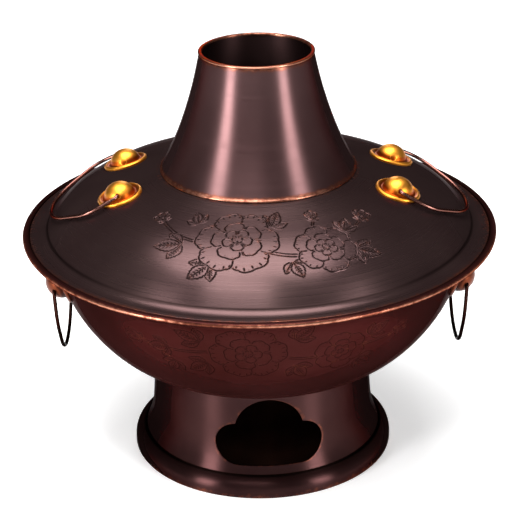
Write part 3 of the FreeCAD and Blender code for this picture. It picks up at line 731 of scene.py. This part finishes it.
lid_drawing = drawing(PICTURE_RADIUS, [
    (blossom(29), -7.8, 53.5, 8), (blossom(20.5), 21.3, 41.5, -15), (bud(14), 40.0, 57.0, -52),
    (bud(12), 22.5, 68.5, -12), (bud(13), -38.5, 61.0, 62), (leaf(19), 4.5, 66.5, -28),
    (leaf(20), -25.5, 44.5, 112), (leaf(17), -14.5, 30.5, 140), (leaf(17), 30.0, 35.5, -128),
    (leaf(15), 30.5, 52.0, -40), (leaf(15), -24.5, 66.0, 38), (leaf(14), 9.5, 33.0, -160)],
    [(2.2, (1, 43), (9, 38), (17, 37)), (1.8, (-39, 60.5), (-33, 54.5), (-26, 49.5), (-20, 48)),
     (1.6, (28, 46), (34, 51), (39.5, 57)), (1.6, (20.5, 58), (20.8, 63), (22.5, 68.5))])
engraving("lid_flowers_chased", lid_drawing, lid_outer, PICTURE_RADIUS, patina, "lid")

# ------------------------------------------------------------------------------------------------
# Engraved flowers on the bowl: a band of two blossoms, buds and leaves across its front, chased with the
# same tool as the lid's, but shallower and rubbed down under the patina.

BOWL_PICTURE_RADIUS = 140.0

bowl_drawing = drawing(BOWL_PICTURE_RADIUS, [
    (blossom(25), -3.5, 97.0, 15), (blossom(18), 21.5, 92.0, -10), (bud(14), -33.0, 98.0, 70),
    (bud(12), 38.0, 96.0, -60), (leaf(19), -15.5, 106.0, 60), (leaf(18), -14.5, 86.0, 125),
    (leaf(17), -25.0, 97.0, 100), (leaf(17), 8.5, 109.0, -40), (leaf(17), 9.0, 84.0, -150),
    (leaf(16), 29.5, 101.0, -50), (leaf(16), 27.5, 80.0, -125), (leaf(15), -24.0, 84.0, 150)],
    [(1.8, (-33, 98), (-24, 95), (-14, 97)), (1.8, (7, 92), (13, 90), (20, 92), (30, 94), (38, 96))])
engraving("bowl_flowers_chased", bowl_drawing, bowl_outer, BOWL_PICTURE_RADIUS, bowl_patina, "pot", 0.75)

# ------------------------------------------------------------------------------------------------
# Chimney: a spun trumpet-shaped cone with a hem rolled outwards at its skirt and a bead at its mouth. It
# stands loose on the lid, kept central by a ring inside the skirt that fits round the lid's collar.

HEM_RADIUS = 70.0
HEM_ROLL = 0.95
HEM_TOP = 218.9
SKIRT_INNER = 67.8
CONE_TOP = 302.0
CONE_POINTS = [(HEM_RADIUS, LID_TOP), (58.7, 240.0), (50.5, 262.0), (43.9, 285.0), (40.1, CONE_TOP)]
BEAD = 0.75
MOUTH_INNER, MOUTH_OUTER = 38.7, 40.0
CENTRING_BORE = 62.1
CENTRING_HEIGHT = 220.0

cone_patina = antique_patina("cone_antique_patina", "#543C3C", "#5C4444", "#4A2222", roughness=0.33,
                             metallic=0.9, brushing=0.8)
cone_outer = smooth_run(CONE_POINTS, 61)
cone_inner = beside(cone_outer, SHEET)
cone_inner[-1] = CONE_POINTS[-1][0] - SHEET, CONE_TOP
cone_profile = eased(closed_profile(
    [(SKIRT_INNER, LID_TOP)], arc_run((HEM_RADIUS - HEM_ROLL, LID_TOP + HEM_ROLL), HEM_ROLL, -90, 70, 9),
    cone_outer[cone_outer[:, 1] > HEM_TOP], cone_inner[cone_inner[:, 1] > HEM_TOP][::-1],
    [(SKIRT_INNER, HEM_TOP - 0.4)]), 0.3)
cone_worn = near(cone_profile, [(HEM_RADIUS, 217.6), (69.4, 218.8)], 2.0, 0.68)
cone_worn += near(cone_profile, [(40.1, 301.5)], 2.0, 0.45)
turned_piece("chimney_cone", "spun", cone_profile, cone_patina, "chimney", "antique_copper",
             worn=cone_worn, soot=near(cone_profile, cone_inner, 0.7, 0.45))
bead_profile = closed_profile([(MOUTH_INNER - BEAD, CONE_TOP)],
                              arc_run((MOUTH_OUTER, CONE_TOP + BEAD), BEAD, -90, 90, 9),
                              arc_run((MOUTH_INNER, CONE_TOP + BEAD), BEAD, 90, 180, 5))
turned_piece("chimney_rim_bead", "rolled", bead_profile, patina, "chimney", "fire_copper", segments=192,
             worn=0.82)
centring_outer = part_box("chimney_centring_ring")[1][0] / MM
plain_ring("chimney_centring_ring", "cut", CENTRING_BORE, centring_outer, CENTRING_HEIGHT,
           CENTRING_HEIGHT + SHEET, "chimney", bevel=(0.8, 0))

# ------------------------------------------------------------------------------------------------
# Bosses: eight pressed brass saucers with a raised rim and a round dome, cross-drilled for the bails.
# Each one's shank goes through the sheet and is held by a washer and a nut inside. Those on the lid are
# gilt, and those on the bowl have the same brass in a darker brown.

SEATS = {"lid": ((102.112, 208.969), math.radians(75.095), math.radians(18.5)),
         "bowl": ((148.991, 152.0), math.radians(-23.302), math.radians(20.0))}
DOME = 10.3
DOME_RADIUS = 11.3
EYE_HEIGHT = 4.3
EYE_RADIUS = 2.3
BOSS_RADIUS = 16.0
BOSS_BACK = -1.2
RIM_RADIUS = 1.3
SHANK_RADIUS = 2.5
SHANK_END = -6.7
BOSS_SEGMENTS = 64
BAR_STEPS = 40


# Gilt brass: pressed and polished, warm yellow, with a darker orange lacquer left in its hollows.
# Round the foot of a boss's dome the darker orange is partly painted shade.
def gilt_brass(name, bright, hollow):
    material = new_material(name)
    add = partial(node_in, material)
    place = add("TexCoord")
    blotches = add("TexNoise", [("Vector", place, "Object")], Scale=1 / 0.006, Detail=4.0, Roughness=0.6)
    soot = add("Attribute", attribute_name="soot")
    stain_and_shade = add("Math", [(0, blotches, 0), (2, soot, "Fac")], operation="MULTIPLY_ADD", _1=0.5)
    share = add("MapRange", [("Value", stain_and_shade, 0)], From_Min=0.28, From_Max=1.0)
    colour = add("Mix", [("Factor", share, 0)], data_type="RGBA", _6=linear(bright), _7=linear(hollow))
    satin = add("MapRange", [("Value", blotches, 0)], From_Min=0.3, From_Max=0.7, To_Min=0.34,
                To_Max=0.46)
    surface = add("BsdfPrincipled", [("Base Color", colour, 2), ("Roughness", satin, 0)], Metallic=1.0)
    add("OutputMaterial", [("Surface", surface, 0)])
    return material


gilt = gilt_brass("gilt_brass", "#F0A038", "#A04610")
# The bowl's bosses get a darker brown copy of the lid's brass.
darker_gilt = gilt_brass("darker_gilt_brass", "#62301E", "#2E130C")
boss_profile = eased(closed_profile(
    [(0, SHANK_END), (SHANK_RADIUS, SHANK_END), (SHANK_RADIUS, BOSS_BACK), (15.7, BOSS_BACK),
     (BOSS_RADIUS, 1.0)], arc_run((14.6, 0.75), RIM_RADIUS, 20, 150, 9),
    [(12.9, 1.15), (12.1, 0.95), (11.5, 1.2)], arc_run((0, 0), 1, 8, 90, 22) * [DOME_RADIUS, DOME]), 0.4)
# Darker orange in the hollow by the rim and round the dome's foot: partly lacquer, partly painted shade.
boss_soot = near(boss_profile, [(12.0, 0.9), (11.1, 2.6)], 2.4, 0.95)


def placed_boss(node, carrier, side, end, material):
    """A boss turned about its own axis, then set square on its carrier: its axis leans outwards by the
    carrier's tilt and its azimuth is a little before or behind the X axis. The eye is drilled along Y."""
    (radius, height), tilt, azimuth = SEATS[carrier]
    points, faces, uv = turned_grid(boss_profile, BOSS_SEGMENTS)
    if side * end < 0:
        faces, uv = faces[:, ::-1], uv.reshape(-1, 4, 2)[:, ::-1].reshape(-1, 2)
    lean = np.array([[math.sin(tilt), 0, math.cos(tilt)], [0, 1, 0], [-math.cos(tilt), 0, math.sin(tilt)]])
    flip = np.array([side, end, 1])
    to_azimuth = np.array([[math.cos(azimuth), -math.sin(azimuth), 0],
                           [math.sin(azimuth), math.cos(azimuth), 0], [0, 0, 1]])
    placed = ((points @ lean.T + [radius, 0, height]) @ to_azimuth.T) * flip
    eye = (to_azimuth @ (lean @ [0, 0, EYE_HEIGHT] + [radius, 0, height])) * flip
    piece = add_piece(node + "_pressed", placed, faces, uv, material, "lid" if carrier == "lid" else "pot",
                      "gilt_brass", [node], soot=np.tile(boss_soot, BOSS_SEGMENTS))
    drill(piece, eye)


# The eye is painted near-black inside, a painted shade for the inside of the drilled hole.
eye_shade = new_material("painted_eye_shade")
eye_shade_place = node_in(eye_shade, "TexCoord")
eye_shade_cloud = node_in(eye_shade, "TexNoise", [("Vector", eye_shade_place, "Object")], Scale=1 / 0.002)
eye_shade_tone = node_in(eye_shade, "Mix", [("Factor", eye_shade_cloud, 0)], data_type="RGBA",
                     _6=linear("#120B08"), _7=linear("#2E1A10"))
eye_shade_surface = node_in(eye_shade, "BsdfPrincipled", [("Base Color", eye_shade_tone, 2)], Roughness=0.8)
node_in(eye_shade, "OutputMaterial", [("Surface", eye_shade_surface, 0)])


def drill(piece, eye):
    """Cuts the wire's eye along Y through a boss: a round bar is taken from the mesh."""
    angle = np.linspace(0, 2 * np.pi, BAR_STEPS, endpoint=False)
    ring = np.stack([EYE_RADIUS * np.cos(angle), np.zeros(BAR_STEPS), EYE_RADIUS * np.sin(angle)], -1)
    bar = bpy.data.meshes.new("bar")
    ends = np.concatenate([ring + [0, -20, 0], ring + [0, 20, 0]]) + eye
    near_end, far_end = list(range(BAR_STEPS)), list(range(BAR_STEPS, 2 * BAR_STEPS))
    sides = strip_faces(2, BAR_STEPS).tolist()
    bar.from_pydata((ends * MM).tolist(), [], sides + [near_end[::-1], far_end])
    # the bar's painted near-black shade goes onto the eye's walls through the cut
    bar.materials.append(eye_shade)
    cutter = bpy.data.objects.new("bar", bar)
    bpy.context.scene.collection.objects.link(cutter)
    cut = piece.modifiers.new("eye", "BOOLEAN")
    cut.operation, cut.solver, cut.object = "DIFFERENCE", "EXACT", cutter
    cut.material_mode = "TRANSFER"
    bpy.context.view_layer.update()
    drilled = bpy.data.meshes.new_from_object(piece.evaluated_get(bpy.context.evaluated_depsgraph_get()))
    piece.modifiers.remove(cut)
    piece.data = drilled
    drilled.set_sharp_from_angle(angle=math.radians(40))
    bpy.data.objects.remove(cutter)
    bpy.data.meshes.remove(bar)


for carrier, finish in (("lid", gilt), ("bowl", darker_gilt)):
    for side, word in ((-1, "left"), (1, "right")):
        for end, place in ((-1, "front"), (1, "rear")):
            placed_boss("%s_boss_%s_%s" % (carrier, word, place), carrier, side, end, finish)

# Turned brass: plain machined washers and hexagon nuts, dulled by steam.
plain_brass = gilt_brass("dull_turned_brass", "#A58545", "#6B5226")
for name in ("lid_boss_washers", "lid_boss_nuts", "bowl_boss_washers", "bowl_boss_nuts"):
    finish_node(name, plain_brass)

# ------------------------------------------------------------------------------------------------
# Bails: four handles bent from drawn copper wire. Each one's tails turn inwards through the eyes of two
# bosses. Those on the lid have a lighter wire colour, and those that hang beside the bowl a darker one.

WIRE = 1.35
WIRE_BEND = 3.5
WIRE_STEPS = 16                       # round the wire
BOW_PLACE = 0.42
BAILS = {"lid": dict(reach=57.5, bow=5.5, nose=21.0, droop=27.2),
         "bowl": dict(reach=67.0, bow=-8.5, nose=24.0, droop=90.0)}

# The bails on the lid get a lighter wire colour than those beside the bowl.
lighter_wire = antique_patina("lighter_copper_wire", "#7A5048", "#8C6258", "#6A5A58", roughness=0.24,
                             metallic=1.0, brushing=0.0)
dark_wire = antique_patina("darker_copper_wire", "#2C1814", "#402620", "#2A1818", roughness=0.24,
                           metallic=0.9, brushing=0.0)


def bent_path(corners, radii, steps=14):
    """Straight runs between corners, joined by tangent arcs of so many steps. A radius of 0 gives an arc
    that takes 0.45 of the shorter run. Gives points about 1.5 mm apart along the runs."""
    corners = np.array(corners, float)
    parts = []
    start = corners[0]
    for before, corner, after, radius in zip(corners, corners[1:], corners[2:], radii):
        back, ahead = before - corner, after - corner
        shorter = min(np.linalg.norm(back), np.linalg.norm(ahead))
        back, ahead = back / np.linalg.norm(back), ahead / np.linalg.norm(ahead)
        half_turn = (np.pi - np.arccos(np.clip(back @ ahead, -1, 1))) / 2
        reach = radius * np.tan(half_turn) if radius else 0.45 * shorter
        radius = reach / np.tan(half_turn)
        centre = corner + (back + ahead) / np.linalg.norm(back + ahead) * np.hypot(radius, reach)
        first = corner + back * reach
        count = max(2, int(np.linalg.norm(first - start) / 1.5))
        parts.append(start + (first - start) * np.linspace(0, 1, count, endpoint=False)[:, None])
        a, b = first - centre, corner + ahead * reach - centre
        whole = 2 * half_turn
        angle = np.linspace(0, whole, steps, endpoint=False)[:, None]
        parts.append(centre + (a * np.sin(whole - angle) + b * np.sin(angle)) / np.sin(whole))
        start = corner + ahead * reach
    count = max(2, int(np.linalg.norm(corners[-1] - start) / 1.5))
    parts.append(start + (corners[-1] - start) * np.linspace(0, 1, count)[:, None])
    return np.concatenate(parts)


def wire_piece(node, path, flat_normal, material):
    """Round wire along a flat path: point (i, j) is path_i + r_i (cos j N_i + sin j B), with B square to
    the path's plane. r_i falls to nothing over the last radius at each end, as a quarter circle does."""
    along = np.gradient(path, axis=0)
    along /= np.linalg.norm(along, axis=1)[:, None]
    into = np.sqrt(1 - np.linspace(1, 0, 7) ** 2)
    depth = np.linspace(0, 1, 7)
    head = path[0] + along[0] * WIRE * depth[:, None]
    tail = path[-1] - along[-1] * WIRE * depth[::-1, None]
    place = travelled(path)
    between = (place > WIRE * 1.05) & (place < place[-1] - WIRE * 1.05)
    path = np.concatenate([head, path[between], tail])
    along = np.gradient(path, axis=0)
    along /= np.linalg.norm(along, axis=1)[:, None]
    size = np.concatenate([into, np.ones(between.sum()), into[::-1]]) * WIRE
    sideways = np.cross(flat_normal, along)
    angle = (2 * np.pi * np.arange(WIRE_STEPS) / WIRE_STEPS)[None, :, None]
    circle = np.cos(angle) * sideways[:, None] + np.sin(angle) * flat_normal
    points = path[:, None] + size[:, None, None] * circle
    i, j = np.meshgrid(np.arange(len(path) - 1), np.arange(WIRE_STEPS), indexing="ij")
    uv = np.stack([np.stack([j, j + 1, j + 1, j], -1) * 2 * np.pi * WIRE / WIRE_STEPS * MM,
                   travelled(path)[np.stack([i, i, i + 1, i + 1], -1)] * MM], -1)
    return add_piece(node + "_bent", points.reshape(-1, 3), strip_faces(len(path), WIRE_STEPS),
                     uv.reshape(-1, 2), material, node, "bail_wire", [node], sharp=60)


for carrier, shape in BAILS.items():
    (seat_radius, seat_height), tilt, azimuth = SEATS[carrier]
    out = seat_radius + EYE_HEIGHT * math.cos(tilt)
    eye_x, eye_y = out * math.cos(azimuth), out * math.sin(azimuth)
    eye_z = seat_height + EYE_HEIGHT * math.sin(tilt)
    lean = EYE_HEIGHT * math.cos(tilt) * math.sin(azimuth)
    chord = math.sqrt(lean ** 2 + DOME ** 2 - EYE_HEIGHT ** 2)
    leg, tail = eye_y + chord - lean + 3.0, eye_y - chord - lean + 4.5
    droop = math.radians(shape["droop"])
    half = [(0, tail), (0, leg), (BOW_PLACE * shape["reach"], leg + shape["bow"]),
            (shape["reach"], shape["nose"])]
    for side, word in ((-1, "left"), (1, "right")):
        away = np.array([side * math.cos(droop), 0, -math.sin(droop)])
        pivot = np.array([side * eye_x, 0, eye_z])
        corners = [pivot + away * run - [0, width, 0] for run, width in half]
        corners += [pivot + away * run + [0, width, 0] for run, width in half[::-1]]
        path = bent_path(corners, [WIRE_BEND, 0, 0, 0, 0, WIRE_BEND])
        wire_piece("%s_bail_%s" % (carrier, word), path, np.cross(away, [0, 1, 0]),
                   lighter_wire if carrier == "lid" else dark_wire)

# ------------------------------------------------------------------------------------------------
# Floor, light and camera: a pale floor under a wide overhead softbox, with a tall one on each side of
# the front, a small one high in front and one behind. None of it is part of the pot.

FLOOR_REACH = 30.0                    # metres from the middle to each side
FOCAL_PIXELS = 1783.6
PICTURE_PIXELS = 520
SENSOR = 36.0
CAMERA_PLACE = (0, -1.1861, 0.6775)
PITCH, ROLL = 0.423042, -0.0169337

floor_mesh = bpy.data.meshes.new("floor")
corners = [(x * FLOOR_REACH, y * FLOOR_REACH, 0) for x, y in ((-1, -1), (1, -1), (1, 1), (-1, 1))]
floor_mesh.from_pydata(corners, [], [(0, 1, 2, 3)])
floor = bpy.data.objects.new("floor", floor_mesh)
bpy.context.scene.collection.objects.link(floor)
pale_floor = new_material("pale_floor")
rays = node_in(pale_floor, "LightPath")
seen = node_in(pale_floor, "Math", [(0, rays, "Is Camera Ray"), (1, rays, "Is Glossy Ray")],
               operation="MAXIMUM")
seen = node_in(pale_floor, "Math", [(0, seen, 0), (1, rays, "Is Transmission Ray")],
               operation="MAXIMUM")
matt = node_in(pale_floor, "BsdfDiffuse", Color=linear("#FFFFFF"))
glow = node_in(pale_floor, "Emission", Color=linear("#FFFFFF"), Strength=0.36)
lit = node_in(pale_floor, "AddShader", [(0, matt, 0), (1, glow, 0)])
shown = node_in(pale_floor, "MixShader", [("Fac", seen, 0), (1, matt, 0), (2, lit, 0)])
node_in(pale_floor, "OutputMaterial", [("Surface", shown, 0)])
floor_mesh.materials.append(pale_floor)

world = bpy.data.worlds.new("studio")
bpy.context.scene.world = world
world.use_nodes = True
world.node_tree.nodes.clear()
way = node_in(world, "TexCoord")
height = node_in(world, "SeparateXYZ", [("Vector", way, "Generated")])
strength = node_in(world, "MapRange", [("Value", height, "Z")], To_Min=0.03, To_Max=0.1)
sky = node_in(world, "Background", [("Strength", strength, 0)], Color=(1, 1, 1, 1))
node_in(world, "OutputWorld", [("Surface", sky, 0)])


def softbox(name, place, size, power, aim=(0, 0, 0.15)):
    """Rectangular lamp at a place in metres, turned towards aim."""
    lamp = bpy.data.lights.new(name, "AREA")
    lamp.shape = "RECTANGLE"
    lamp.size, lamp.size_y = size
    lamp.energy = power
    holder = bpy.data.objects.new(name, lamp)
    holder.location = place
    holder.rotation_euler = (Vector(aim) - Vector(place)).to_track_quat("-Z", "Y").to_euler()
    bpy.context.scene.collection.objects.link(holder)


softbox("left_softbox", (-1.26, -1.06, 0.55), (0.42, 1.1), 27)
softbox("right_softbox", (1.25, -1.05, 0.55), (0.42, 1.1), 20)
softbox("overhead_softbox", (-0.12, 0.12, 1.9), (1.6, 1.1), 46, (-0.12, 0, 0.15))
softbox("front_softbox", (-0.25, -0.81, 1.7), (0.8, 0.5), 12)
softbox("back_softbox", (0, 1.9, 0.9), (0.45, 0.7), 4)

camera_lens = bpy.data.cameras.new("camera")
camera_lens.lens = FOCAL_PIXELS / PICTURE_PIXELS * SENSOR
camera = bpy.data.objects.new("camera", camera_lens)
camera.matrix_world = (Matrix.Translation(CAMERA_PLACE) @ Matrix.Rotation(math.pi / 2 - PITCH, 4, "X")
                       @ Matrix.Rotation(ROLL, 4, "Z"))
bpy.context.scene.collection.objects.link(camera)
bpy.context.scene.camera = camera
bpy.context.scene.view_settings.view_transform = "Standard"
